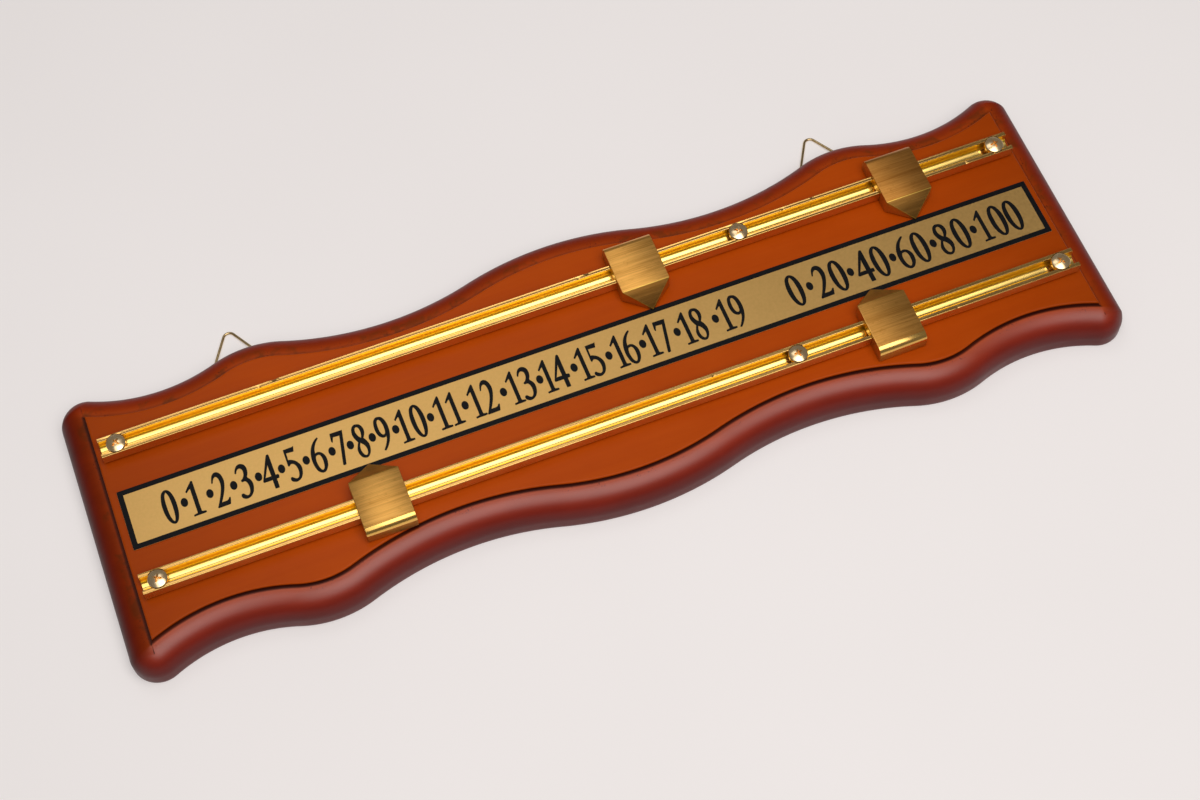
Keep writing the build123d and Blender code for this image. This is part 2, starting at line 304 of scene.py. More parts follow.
# Painted shade: the sliders' flat walls are a darker copy of the same brass as their rounded edges,
# standing in for the shade at their foot.
SHADED_SLIDER_WALL = drawn_brass("shaded_side_brass", (0.52, 0.33, 0.06), (0.66, 0.43, 0.09), (0.36, 0.46))
SLIDER_SIDE = drawn_brass("smooth_brass", (0.76, 0.43, 0.10), (0.90, 0.54, 0.15), (0.16, 0.24))
SCREW = even_metal("screw_metal", (0.94, 0.64, 0.33), (1.0, 0.78, 0.47), (0.20, 0.27))
HANGER = even_metal("hanger_metal", (0.46, 0.32, 0.15), (0.66, 0.49, 0.26), (0.18, 0.28))


# ---------------------------------------------------------------- mesh helpers
def link_object(name, data, materials=()):
    """A new object in the scene around a mesh, curve, light or camera."""
    obj = bpy.data.objects.new(name, data)
    bpy.context.scene.collection.objects.link(obj)
    for material in materials:
        data.materials.append(material)
    return obj


def mesh_object(name, verts, faces, materials=()):
    """A mesh object from points in millimetres."""
    mesh = bpy.data.meshes.new(name)
    mesh.from_pydata([tuple(c * MM for c in v) for v in verts], [], faces)
    return link_object(name, mesh, materials)


def mark_sharp(obj, sharp):
    """Splits the shading at edges that turn by more than sharp degrees."""
    obj.data.set_sharp_from_angle(angle=math.radians(sharp))


def finish_mesh(obj, sharp=35.0):
    """Welds doubles, turns faces outwards and marks sharp edges."""
    bm = bmesh.new()
    bm.from_mesh(obj.data)
    bmesh.ops.remove_doubles(bm, verts=bm.verts, dist=1e-7)
    bmesh.ops.recalc_face_normals(bm, faces=bm.faces)
    bm.to_mesh(obj.data)
    bm.free()
    obj.data.polygons.foreach_set("use_smooth", [True] * len(obj.data.polygons))
    mark_sharp(obj, sharp)


def apply_modifier(obj):
    """Replaces the mesh by its evaluated one and drops the modifiers."""
    graph = bpy.context.evaluated_depsgraph_get()
    mesh = bpy.data.meshes.new_from_object(obj.evaluated_get(graph))
    obj.modifiers.clear()
    obj.data = mesh


def cut(obj, cutters):
    """Takes closed meshes, given as (verts, faces) in millimetres, out of obj."""
    for verts, faces in cutters:
        tool = mesh_object("cutter", verts, faces)
        finish_mesh(tool)
        modifier = obj.modifiers.new("cut", "BOOLEAN")
        modifier.operation = "DIFFERENCE"
        modifier.solver = "EXACT"
        modifier.object = tool
        apply_modifier(obj)
        bpy.data.objects.remove(tool)


def prism(outline, low, high, axis="z"):
    """Closed prism over an outline of 2-D points between two heights along an axis."""
    order = {"z": lambda a, b, h: (a, b, h), "x": lambda a, b, h: (h, a, b)}[axis]
    n = len(outline)
    verts = [order(a, b, low) for a, b in outline] + [order(a, b, high) for a, b in outline]
    faces = [tuple(range(n))[::-1], tuple(range(n, 2 * n))]
    faces += [(i, (i + 1) % n, n + (i + 1) % n, n + i) for i in range(n)]
    return verts, faces


def circle(x, y, radius, count=64):
    """Points of a full circle."""
    turns = [2 * math.pi * i / count for i in range(count)]
    return [(x + radius * math.cos(t), y + radius * math.sin(t)) for t in turns]


def arc_points(cx, cy, radius, start, end, count):
    """Points of an arc in degrees, both ends included."""
    angles = [math.radians(start + (end - start) * i / count) for i in range(count + 1)]
    return [(cx + radius * math.cos(a), cy + radius * math.sin(a)) for a in angles]


# ---------------------------------------------------------------- backboard
def wave_rays():
    """Points of the raised edge with their outward normals, from X = 0 to the corner."""
    radii = [MIDDLE_RADIUS]
    for (x0, y0), (x1, y1) in zip(WAVE, WAVE[1:]):
        rise = abs(y1 - y0)
        radii.append(((x1 - x0) ** 2 + rise**2) / (2 * rise) - radii[-1])
    centres = [(x, y - r if i % 2 == 0 else y + r) for i, ((x, y), r) in enumerate(zip(WAVE, radii))]
    joints = [0.0]
    for (x0, _), (x1, _), r0, r1 in zip(centres, centres[1:], radii, radii[1:]):
        joints.append(x0 + (x1 - x0) * r0 / (r0 + r1))
    joints.append(FACE_HALF)
    rays = []
    for i, ((cx, cy), radius) in enumerate(zip(centres, radii)):
        up = 1 if i % 2 == 0 else -1
        start, end = (math.asin((x - cx) / radius) for x in (joints[i], joints[i + 1]))
        count = max(4, int(abs(end - start) * radius / 0.9))
        first = 0 if i == 0 else 1
        for k in range(first, count + 1):
            a = start + (end - start) * k / count
            point = (cx + radius * math.sin(a), cy + up * radius * math.cos(a))
            rays.append((*point, up * math.sin(a), math.cos(a)))
    return rays


GROOVE_END = 1.05  # where the painted shade line at the foot of the step ends
ROUND_START = 0.6  # flat strip between the step and the quarter round
BACK_EDGE = 0.6  # radius between the rim's side and the back


def rim_profile(step):
    """(outward distance, height, mask of the painted shade in the groove) from the flat of the face down to
    the flat of the back.
    """
    soft = 0.5
    lip = -0.45
    foot = FACE_Z - step
    low = FACE_Z - LONG_STEP - ROUND
    points = [(lip - soft - 0.6, FACE_Z, 0)]
    points += [(lip - soft + x, z, 0) for x, z in arc_points(0, FACE_Z - soft, soft, 90, 12, 5)]
    points += [(lip, foot + 0.42, 0.8), (lip + 0.05, foot + 0.12, 1), (lip + 0.16, foot - 0.05, 1)]
    points += [(-0.02, foot - 0.06, 1), (0.28, foot - 0.02, 1), (0.62, foot, 0.7)]
    points += [(GROOVE_END, foot - 0.01, 0)]
    shift = FACE_Z - LONG_STEP - foot
    for d, z in arc_points(ROUND_START, low, ROUND, 86, 0, 22):
        points.append((d, z - shift, 0))
    points += [(RIM, 2.4, 0), (RIM, BACK_EDGE, 0)]
    corner = arc_points(0, BACK_EDGE, BACK_EDGE, 0, -90, 3)[1:]
    points += [(RIM - BACK_EDGE + x, z, 0) for x, z in corner]
    points += [(RIM - 2 * BACK_EDGE, 0.0, 0)]
    return points


def end_height(d):
    """Height left by the deeper cut at the ends, at distance d past the end of the raised face."""
    base = FACE_Z - END_STEP
    if d <= ROUND_START:
        return base
    return base - ROUND + math.sqrt(max(0.0, ROUND**2 - (d - ROUND_START) ** 2))


def by_side(nx, ny, near, far, left, right):
    """A value for each side of the board, blended round the corners by the outward normal."""
    return (near if ny < 0 else far) * ny**2 + (left if nx < 0 else right) * nx**2


TURN_COUNT = 6  # columns that turn from the last wave to straight out
FAN_COUNT = 24  # columns round the corner
END_COUNT = 40  # columns along half an end
POCKET_HALF = 13.0  # half the width of a hanger's pocket
POCKET_DEPTH = 3.0
BOARD_SHARP = 50


def quarter_rays():
    """The face's edge from the middle of a long side to the middle of an end, as (x, y, normal, kind)."""
    rays = wave_rays()
    corner_x, corner_y, nx, ny = rays[-1]
    quarter = [(*ray, "wavy") for ray in rays]
    start = math.atan2(ny, nx)
    for k in range(1, TURN_COUNT + 1):
        turn = start + (math.pi / 2 - start) * k / TURN_COUNT
        quarter.append((corner_x, corner_y, math.cos(turn), math.sin(turn), "wavy"))
    for k in range(FAN_COUNT + 1):
        turn = math.pi / 2 * (1 - k / FAN_COUNT)
        quarter.append((corner_x, corner_y, math.cos(turn), math.sin(turn), "fan"))
    for k in range(1, END_COUNT + 1):
        quarter.append((corner_x, corner_y * (1 - k / END_COUNT), 1.0, 0.0, "end"))
    return quarter


def board_column(ray, corner_y, wavy, ends):
    """Points (x, y, z, place on the rim, painted groove shade, normal) from the face over the rim to the
    back.
    """
    x, y, nx, ny, kind = ray
    column = []
    for (dw, zw, sw), (de, ze, se) in zip(wavy, ends):
        d, z, dark = (dw, zw, sw) if kind == "wavy" else (de, ze, se)
        if kind == "fan":
            # The end's deeper cut runs straight on through the corner and meets the wavy side's round.
            if d >= RIM:
                z = zw
            elif d >= GROOVE_END:
                z = min(zw, max(end_height(d * nx), 0.0))
            # Painted shade in the corner crease where the end's deeper cut meets the wavy side.
            if nx < 0.1 and zw - z > 0.1:
                dark = 1.0
        px, py = x + d * nx, y + d * ny
        if d < 0:
            px = min(px, FACE_HALF + d)
            if kind != "wavy" or px >= FACE_HALF + d:
                py = min(py, corner_y + d * 1.45)
        column.append((px, py, z, max(d, 0.0) / RIM, dark, nx, ny))
    return column


def make_backboard():
    """The board as one closed skin, with masks for its materials, and the hangers' pockets cut from it."""
    wavy = rim_profile(LONG_STEP)
    ends = rim_profile(END_STEP)
    quarter = quarter_rays()
    corner_y = wave_rays()[-1][1]
    grid = [board_column(ray, corner_y, wavy, ends) for ray in quarter]
    mirror_x = [[(-px, py, z, r, s, -nx, ny) for px, py, z, r, s, nx, ny in c] for c in grid[1:][::-1]]
    upper = mirror_x + grid
    lower = [[(px, -py, z, r, s, nx, -ny) for px, py, z, r, s, nx, ny in c] for c in upper[1:-1][::-1]]
    loop = upper + lower
    points = [p for column in loop for p in column]
    rows, cols = len(wavy), len(loop)
    faces, on_rim = [], []
    for i in range(cols):
        j = (i + 1) % cols
        for k in range(rows - 1):
            faces.append((i * rows + k, j * rows + k, j * rows + k + 1, i * rows + k + 1))
            on_rim.append(1 if wavy[k + 1][0] > 0 else 0)
    faces.append(tuple(i * rows for i in range(cols)))
    faces.append(tuple(i * rows + rows - 1 for i in range(cols))[::-1])
    on_rim += [0, 1]
    obj = mesh_object("backboard_wood", [p[:3] for p in points], faces, (FACE_WOOD, RIM_WOOD))
    obj.data.polygons.foreach_set("material_index", on_rim)
    masks = {"rim": [], "step": [], "gloss": [], "painted_side_shade": []}
    for _, _, _, rim, dark, nx, ny in points:
        facing = max(0.0, min(1.0, (-ny - 0.3) / 0.5))
        masks["rim"].append(rim)
        # Painted shade in the groove: strongest on the near side and the left end, faint on the far side
        # and the right end.
        masks["step"].append(dark * by_side(nx, ny, near=1.0, far=0.25, left=0.85, right=0.35))
        masks["gloss"].append(facing * (1 - 0.8 * rim**2) * (1 - dark))
        # Painted light and shade for the rim by side: near side lightened, far side and ends darkened, the
        # left end most.
        masks["painted_side_shade"].append(by_side(nx, ny, near=1.12, far=0.95, left=0.60, right=0.80))
    for name, values in masks.items():
        obj.data.attributes.new(name, "FLOAT", "POINT").data.foreach_set("value", values)
    finish_mesh(obj, BOARD_SHARP)
    pockets = []
    for side in ("left", "right"):
        low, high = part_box(side + "_hanger_clip")
        left = (low.x + high.x) / 2 / MM - POCKET_HALF
        right = (low.x + high.x) / 2 / MM + POCKET_HALF
        bottom = low.y / MM - 1.0
        outline = [(left, bottom), (right, bottom), (right, 80), (left, 80)]
        pockets.append(prism(outline, -1.0, POCKET_DEPTH))
    cut(obj, pockets)
    mark_sharp(obj, BOARD_SHARP)
    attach(obj, "board")
    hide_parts("backboard")


make_backboard()


# ---------------------------------------------------------------- number plate and its print
PLATE_Z = FACE_Z + 0.4
PLATE_HALF = (176.8, 11.9)
CHAMFER = 0.08
BORDER = 2.0  # width of the black frame
INK_DEPTH = 0.02
BOLDER = 0.09  # how far each numeral's outline is moved outwards
DOT = (1.28, 1.8)
DOT_Y = -0.6


def rounded_rectangle(half_x, half_y, radius, count=5):
    """Closed outline about the origin."""
    points = []
    for sx, sy, start in ((1, 1, 0), (-1, 1, 90), (-1, -1, 180), (1, -1, 270)):
        centre = (sx * (half_x - radius), sy * (half_y - radius))
        points += arc_points(*centre, radius, start, start + 90, count)
    return points


def make_plate():
    """Thin strip with a small chamfer round its top."""
    outline = rounded_rectangle(PLATE_HALF[0], PLATE_HALF[1], 0.4)
    inner = rounded_rectangle(PLATE_HALF[0] - CHAMFER, PLATE_HALF[1] - CHAMFER, 0.34)
    n = len(outline)
    verts = [(x, y, FACE_Z) for x, y in outline] + [(x, y, PLATE_Z - CHAMFER) for x, y in outline]
    verts += [(x, y, PLATE_Z) for x, y in inner]
    faces = [tuple(range(n))[::-1], tuple(range(2 * n, 3 * n))]
    for base in (0, n):
        faces += [(base + i, base + (i + 1) % n, base + n + (i + 1) % n, base + n + i) for i in range(n)]
    verts = [(x + FITTINGS_X, y, z) for x, y, z in verts]
    obj = mesh_object("number_plate_strip", verts, faces, (PLATE,))
    finish_mesh(obj, 30)
    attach(obj, "board")
    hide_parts("number_plate")


# Outlines of the numerals in millimetres from the digit's middle. A third value marks a corner.
GLYPHS = {
    "0": [
        [(0, 6.45), (1.45, 5.3), (2.3, 2.5), (2.5, -0.6), (2.25, -3.8), (1.4, -6.4), (0.1, -7.25),
         (-1.3, -6.1), (-2.2, -3.4), (-2.5, -0.2), (-2.3, 2.9), (-1.5, 5.5)],
        [(-0.25, 5.4), (-0.95, 3.6), (-1.08, -0.1), (-0.9, -3.4), (-0.35, -5.6), (0.22, -6.35),
         (0.72, -5.4), (1.0, -3.1), (1.02, 0.2), (0.75, 3.4), (0.25, 5.1)],
    ],
    "1": [
        [(0.42, 6.55, 1), (0.8, 6.35), (0.86, 5.2), (0.92, 0.0), (0.98, -5.3), (1.25, -6.1),
         (2.45, -6.35), (2.5, -6.95, 1), (1.2, -7.05), (-0.6, -7.05), (-1.85, -7.15, 1),
         (-1.85, -6.55), (-0.6, -6.25), (-0.42, -5.3), (-0.48, 0.0), (-0.5, 3.3), (-0.62, 3.75),
         (-1.1, 3.55), (-2.1, 2.6, 1), (-2.38, 3.1, 1), (-0.9, 5.0)],
    ],
    "2": [
        [(-2.3, 2.85, 1), (-2.0, 2.85, 1), (-1.3, 4.45), (-0.45, 5.0), (0.25, 4.4), (0.6, 2.6),
         (0.4, 0.25), (-0.45, -2.3), (-1.5, -4.7), (-2.6, -6.9, 1), (-2.5, -7.15, 1),
         (1.9, -7.05, 1), (2.45, -4.65), (2.1, -4.5, 1), (1.6, -5.15), (0.8, -5.45),
         (-0.95, -5.45, 1), (0.25, -3.2), (1.4, -0.4), (1.98, 2.3), (1.75, 4.6), (0.95, 6.15),
         (-0.2, 6.63), (-1.2, 6.1), (-1.85, 4.8)],
    ],
    "3": [
        [(-2.5, 3.6, 1), (-2.15, 3.35, 1), (-1.6, 4.5), (-0.9, 5.05), (-0.1, 4.85), (0.45, 3.9),
         (0.35, 2.2), (-0.3, 0.9), (-1.2, 0.15, 1), (-0.95, -0.45, 1), (0.1, -0.5), (0.75, -1.4),
         (1.0, -2.9), (0.85, -4.6), (0.3, -5.8), (-0.4, -6.15), (-1.15, -5.7), (-1.75, -5.0),
         (-2.35, -5.05), (-2.6, -5.8), (-2.15, -6.7), (-0.9, -7.25), (0.6, -6.75), (1.85, -5.2),
         (2.43, -2.8), (2.15, -0.9), (1.3, 0.45), (1.15, 1.0, 1), (1.75, 2.4), (1.9, 4.2),
         (1.4, 5.75), (0.1, 6.6), (-1.2, 6.2), (-2.05, 5.0)],
    ],
    "4": [
        [(1.15, 6.6, 1), (1.6, 6.55), (1.78, 5.8), (1.85, 2.0), (1.9, -2.05, 1), (2.75, -2.1, 1),
         (3.0, -2.5), (2.85, -3.55, 1), (1.9, -3.6, 1), (1.9, -6.9), (1.65, -7.2, 1),
         (0.5, -7.2, 1), (0.45, -3.6, 1), (-2.55, -3.6, 1), (-2.8, -3.25), (-2.6, -2.5, 1),
         (-0.9, 1.9), (0.75, 6.0)],
        [(-1.8, -2.1, 1), (0.35, 2.8, 1), (0.42, -2.1, 1)],
    ],
    "5": [
        [(-1.95, 6.15, 1), (1.55, 6.25, 1), (1.85, 6.5, 1), (1.4, 4.45, 1), (-1.33, 4.6, 1),
         (-1.42, 1.75, 1), (-0.45, 1.5), (1.1, 0.4), (2.15, -1.5), (2.33, -3.1), (1.9, -5.1),
         (0.95, -6.6), (-0.45, -7.3), (-1.8, -7.0), (-2.5, -6.2), (-2.4, -5.35), (-1.9, -5.15),
         (-1.2, -5.8), (-0.3, -6.25), (0.5, -5.7), (0.95, -4.3), (1.0, -2.8), (0.65, -1.2),
         (-0.1, -0.25), (-0.95, -0.05), (-1.75, -0.75, 1), (-1.98, -0.4, 1)],
    ],
    "6": [
        [(1.75, 6.25, 1), (1.5, 6.6, 1), (0.35, 5.8), (-1.1, 4.1), (-2.15, 1.75), (-2.6, -1.0),
         (-2.5, -3.6), (-1.9, -5.9), (-0.9, -7.1), (0.1, -7.38), (1.15, -6.75), (2.1, -5.0),
         (2.4, -2.8), (2.1, -1.0), (1.2, 0.4), (0.1, 0.95), (-0.95, 0.7, 1), (-0.6, 2.6),
         (0.35, 4.55)],
        [(-0.35, -0.1), (0.45, -0.25), (0.95, -1.3), (1.08, -3.1), (0.85, -5.2), (0.2, -6.35),
         (-0.5, -6.1), (-1.1, -4.6), (-1.35, -2.3), (-1.05, -0.6)],
    ],
    "7": [
        [(-2.1, 6.25, 1), (2.43, 6.2, 1), (1.2, -0.5), (-0.1, -7.2, 1), (-0.9, -7.3),
         (-1.1, -6.95, 1), (0.0, -1.0), (1.05, 4.45, 1), (-1.2, 4.6), (-1.55, 4.2), (-2.1, 2.6, 1),
         (-2.35, 3.4)],
    ],
    "8": [
        [(-0.15, 6.5), (1.2, 5.9), (1.98, 4.2), (1.85, 2.2), (0.95, 0.4, 1), (1.75, -1.1),
         (2.2, -3.0), (1.85, -5.3), (0.9, -6.95), (-0.15, -7.38), (-1.4, -6.8), (-2.15, -5.3),
         (-2.3, -3.5), (-1.75, -1.8), (-1.2, -0.65, 1), (-1.95, 1.1), (-2.35, 3.0), (-1.95, 5.2),
         (-1.1, 6.3)],
        [(-0.28, 5.45), (0.45, 4.9), (0.78, 3.3), (0.6, 1.6), (0.2, 0.6, 1), (-0.6, 1.8),
         (-1.12, 3.4), (-0.95, 4.9)],
        [(-0.6, -1.0, 1), (0.45, -2.3), (1.02, -4.0), (0.8, -5.8), (0.05, -6.5), (-0.8, -5.8),
         (-1.25, -4.0), (-1.1, -2.2)],
    ],
    "9": [
        [(-0.13, 6.45), (1.25, 5.9), (2.15, 4.0), (2.45, 1.5), (2.2, -1.2), (1.45, -3.6),
         (0.25, -5.75), (-1.0, -7.25, 1), (-1.55, -7.0, 1), (-0.3, -5.1), (0.6, -3.2),
         (0.9, -1.65, 1), (0.35, -2.05), (-0.55, -2.0), (-1.65, -1.0), (-2.25, 1.0), (-2.25, 3.2),
         (-1.8, 5.2), (-1.0, 6.2)],
        [(-0.25, 5.4), (0.45, 4.9), (0.95, 3.2), (1.05, 1.0), (0.8, -0.5), (0.25, -1.05),
         (-0.6, -0.5), (-1.05, 1.4), (-1.02, 3.7), (-0.75, 4.9)],
    ],
}
# Each digit with its middle along the strip, for the left scale and the right one,
# and the dots between the numbers.
SCALE_A = [
    ("0", -160.6), ("1", -151.6), ("2", -142.2), ("3", -133.3), ("4", -124.4), ("5", -115.3),
    ("6", -106.1), ("7", -97.8), ("8", -90.1), ("9", -82.0), ("1", -74.4), ("0", -68.7),
    ("1", -60.1), ("1", -55.3), ("1", -47.1), ("2", -41.9), ("1", -32.4), ("3", -27.3),
    ("1", -19.7), ("4", -14.9), ("1", -5.9), ("5", -0.75), ("1", 8.0), ("6", 12.7), ("1", 20.7),
    ("7", 25.75), ("1", 34.4), ("8", 39.5), ("1", 49.6), ("9", 54.6),
]
SCALE_B = [
    ("0", 77.7), ("2", 88.3), ("0", 94.9), ("4", 105.0), ("0", 111.7), ("6", 121.75),
    ("0", 128.2), ("8", 137.9), ("0", 144.7), ("1", 153.75), ("0", 160.0), ("0", 166.2),
]
DOTS = [
    -155.4, -146.1, -137.4, -128.3, -119.8, -110.7, -101.1, -94.3, -86.1, -77.3, -64.2, -51.1,
    -36.5, -22.6, -9.4, 4.1, 17.25, 30.75, 45.8, 83.3, 99.7, 116.8, 133.3, 149.75,
]


def smooth_outline(knots, count=6):
    """Closed curve through the knots, smooth except at corners."""
    n = len(knots)
    points = []
    for i in range(n):
        p1, p2 = knots[i], knots[(i + 1) % n]
        p0 = p1 if len(p1) == 3 else knots[i - 1]
        p3 = p2 if len(p2) == 3 else knots[(i + 2) % n]
        for k in range(count):
            t = k / count
            point = []
            for a, b, c, d in zip(p0[:2], p1[:2], p2[:2], p3[:2]):
                m1, m2 = (c - a) / 2, (d - b) / 2
                if p0 is p1:
                    m1 = c - b
                if p3 is p2:
                    m2 = c - b
                h = (2 * t**3 - 3 * t**2 + 1) * b + (t**3 - 2 * t**2 + t) * m1
                point.append(h + (3 * t**2 - 2 * t**3) * c + (t**3 - t**2) * m2)
            points.append(tuple(point))
    return points


def swell(points, amount):
    """Moves a closed outline's points outwards by amount, or inwards when it is negative."""
    n = len(points)
    area = sum(points[i - 1][0] * points[i][1] - points[i][0] * points[i - 1][1] for i in range(n))
    side = amount if area > 0 else -amount
    moved = []
    for i, (x, y) in enumerate(points):
        (ax, ay), (bx, by) = points[i - 1], points[(i + 1) % n]
        tx, ty = bx - ax, by - ay
        length = math.hypot(tx, ty) or 1.0
        moved.append((x + side * ty / length, y - side * tx / length))
    return moved


def make_print():
    """The frame, numerals and dots as one thin raised print."""
    curve = bpy.data.curves.new("plate_print", "CURVE")
    curve.dimensions = "2D"
    curve.fill_mode = "BOTH"
    curve.extrude = INK_DEPTH / 2 * MM

    def add(points):
        spline = curve.splines.new("POLY")
        spline.points.add(len(points) - 1)
        for target, (x, y) in zip(spline.points, points):
            target.co = ((x + FITTINGS_X) * MM, y * MM, 0, 1)
        spline.use_cyclic_u = True

    add(rounded_rectangle(PLATE_HALF[0] - 0.05, PLATE_HALF[1] - 0.05, 0.35))
    add(rounded_rectangle(PLATE_HALF[0] - BORDER, PLATE_HALF[1] - BORDER, 0.15))
    for digits, scale_width in ((SCALE_A, 1.0), (SCALE_B, 1.12)):
        for digit, middle in digits:
            # A 1 inside a two-digit number is drawn narrower.
            width = 0.93 if digit == "1" and middle > -80 else scale_width
            for index, contour in enumerate(GLYPHS[digit]):
                outline = [(middle + x * width, y) for x, y in smooth_outline(contour)]
                add(swell(outline, -BOLDER if index else BOLDER))
    for x in DOTS:
        turns = np.linspace(0, 2 * math.pi, 28)[:-1]
        add([(x + DOT[0] * math.cos(t), DOT_Y + DOT[1] * math.sin(t)) for t in turns])
    temp = link_object("plate_print", curve)
    temp.location = (0, 0, PLATE_Z * MM)
    bpy.context.view_layer.update()
    graph = bpy.context.evaluated_depsgraph_get()
    mesh = bpy.data.meshes.new_from_object(temp.evaluated_get(graph))
    mesh.transform(temp.matrix_world)
    bpy.data.objects.remove(temp)
    mesh.materials.clear()
    obj = link_object("plate_print", mesh, (INK,))
    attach(obj, "board")


make_plate()
make_print()


# ---------------------------------------------------------------- rails
RAIL_HALF = 177.5
SCREW_X = [FITTINGS_X + x for x in (-171.5, 66.7, 171.5)]
SEAT_Z = RAIL_TOP_Z - 1.6
SEAT_RADIUS = 3.75
RAIL_SHARP = 24
# Material slots of a rail.
OUTSIDE, CREST, INSIDE, FLOOR = range(4)


def rail_profile(dip):
    """Half a channel's section as (Y, Z, material), with wall tops hollowed by dip and a dished floor."""
    top, r = RAIL_HEIGHT, 0.24
    outer, inner = 4.0, 2.45
    foot = 3.3
    dish, reach, floor_z = 2.8, 1.85, 1.15
    half = [(0.0, 0.0, OUTSIDE), (foot, 0.0, OUTSIDE), (foot, 1.1, OUTSIDE), (outer, 1.1, OUTSIDE)]
    half += [(outer - r + x, z, CREST) for x, z in arc_points(0, top - r, r, 0, 90, 4)]
    half += [(outer - 0.30, top - 0.01, CREST), (outer - 0.62, top - dip, CREST)]
    half += [(inner + 0.62, top - dip, CREST), (inner + 0.30, top - 0.01, CREST)]
    half += [(inner + r - x, z, CREST) for x, z in arc_points(0, top - r, r, 90, 0, 4)]
    half[-1] = (*half[-1][:2], INSIDE)
    edge = floor_z + dish - math.sqrt(dish**2 - reach**2)
    for inward, rise in ((0.0, 1.25), (0.07, 0.85), (0.20, 0.52), (0.40, 0.22)):
        half.append((inner - inward, edge + rise, INSIDE))
    for k in range(9):
        y = reach * (1 - k / 8)
        half.append((y, floor_z + dish - math.sqrt(dish**2 - y**2), FLOOR))
    return half


def make_rail(name, dip, dents):
    """One rail, with dents as (place along the rail, wall, depth, half width) and seats for its screws."""
    y0 = RAIL_Y[name]
    half = rail_profile(dip)
    profile = [(y, z) for y, z, _ in half] + [(-y, z) for y, z, _ in half[1:-1][::-1]]
    kinds = [kind for _, _, kind in half[:-1]]
    kinds += kinds[::-1]
    n = len(profile)
    stations = set(np.round(np.linspace(-RAIL_HALF, RAIL_HALF, 72), 3))
    for x, _, _, width in dents:
        stations |= set(np.round(np.linspace(x - 2.2 * width, x + 2.2 * width, 15), 3))
    stations = sorted(stations)
    verts = []
    for x in stations:
        for y, z in profile:
            if z > RAIL_HEIGHT - 0.35:
                for dent_x, wall, depth, width in dents:
                    near = math.exp(-((x - dent_x) / width) ** 2) * math.exp(-((y - wall) / 0.4) ** 2)
                    z -= depth * near
            verts.append((x + FITTINGS_X, y + y0, z + FACE_Z))
    faces, slots = [], []
    for i in range(len(stations) - 1):
        for k in range(n):
            a, b = i * n + k, i * n + (k + 1) % n
            faces.append((a, b, b + n, a + n))
            slots.append(kinds[k])
    last = (len(stations) - 1) * n
    faces += [tuple(range(n)), tuple(range(last, last + n))[::-1]]
    slots += [CREST, CREST]
    obj = mesh_object(name + "_rail_channel", verts, faces, (RAIL_OUTSIDE,))
    finish_mesh(obj, RAIL_SHARP)
    for material in (RAIL_TOP, RAIL_INSIDE, RAIL_FLOOR):
        obj.data.materials.append(material)
    obj.data.polygons.foreach_set("material_index", slots)
    cut(obj, [prism(circle(x, y0, SEAT_RADIUS), SEAT_Z, FACE_Z + 7) for x in SCREW_X])
    mark_sharp(obj, RAIL_SHARP)
    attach(obj, "board")
    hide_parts(name + "_rail")


UPPER_DENTS = [
    (-112, 3.9, 0.4, 1.0), (-118, 2.6, 0.2, 0.6), (8, 3.9, 0.35, 0.8), (4.5, 2.6, 0.2, 0.6),
    (158, -3.9, 0.35, 0.5), (98, 3.9, 0.2, 0.5), (86, 2.6, 0.2, 0.5),
]
LOWER_DENTS = [(35, 2.6, 0.15, 0.6), (128, -3.9, 0.15, 0.6)]
make_rail("upper", 0.14, UPPER_DENTS)
make_rail("lower", 0.05, LOWER_DENTS)


# ---------------------------------------------------------------- screws
SCREW_SIDES = 72
THREAD_PITCH = 1.3
THREAD_START = -1.5
THREAD_STEPS = 90
TIP_LENGTH = 2.5


def screw_mesh(head_r, head_h, head_rim, shank_r, length, turn):
    """Domed wood screw, head up, underside of the head at Z = 0, as (verts, faces)."""
    rise = head_h - head_rim
    dome = (head_r**2 + rise**2) / (2 * rise)
    profile = []
    for k in range(13):
        r = min(head_r * math.sin(math.pi / 2 * k / 12), head_r - 0.12)
        profile.append((r, head_h - dome + math.sqrt(dome**2 - r**2)))
    profile += [(head_r - 0.03, head_rim - 0.06), (head_r, head_rim - 0.2), (head_r, 0.12)]
    profile += [(head_r - 0.12, 0.0), (shank_r + 0.05, 0.0)]
    profile += [(shank_r * 0.82, -0.3), (shank_r * 0.82, THREAD_START)]
    for k in range(1, THREAD_STEPS + 1):
        profile.append((None, THREAD_START + (-length - THREAD_START) * k / THREAD_STEPS))
    tip = TIP_LENGTH - length
    verts, faces = [], []
    for r, z in profile:
        for i in range(SCREW_SIDES):
            a = 2 * math.pi * i / SCREW_SIDES + turn
            radius = r
            if r is None:
                phase = (z / THREAD_PITCH + i / SCREW_SIDES) % 1.0
                crest = max(0.0, 1 - abs(phase - 0.5) * 5)
                taper = 1.0 if z > tip else max(0.0, (z + length) / (tip + length))
                radius = (shank_r * 0.72 + shank_r * 0.28 * crest) * taper
            verts.append((radius * math.cos(a), radius * math.sin(a), z))
    for k in range(len(profile) - 1):
        this, below = k * SCREW_SIDES, (k + 1) * SCREW_SIDES
        for i in range(SCREW_SIDES):
            j = (i + 1) % SCREW_SIDES
            faces.append((this + i, below + i, below + j, this + j))
    return verts, faces


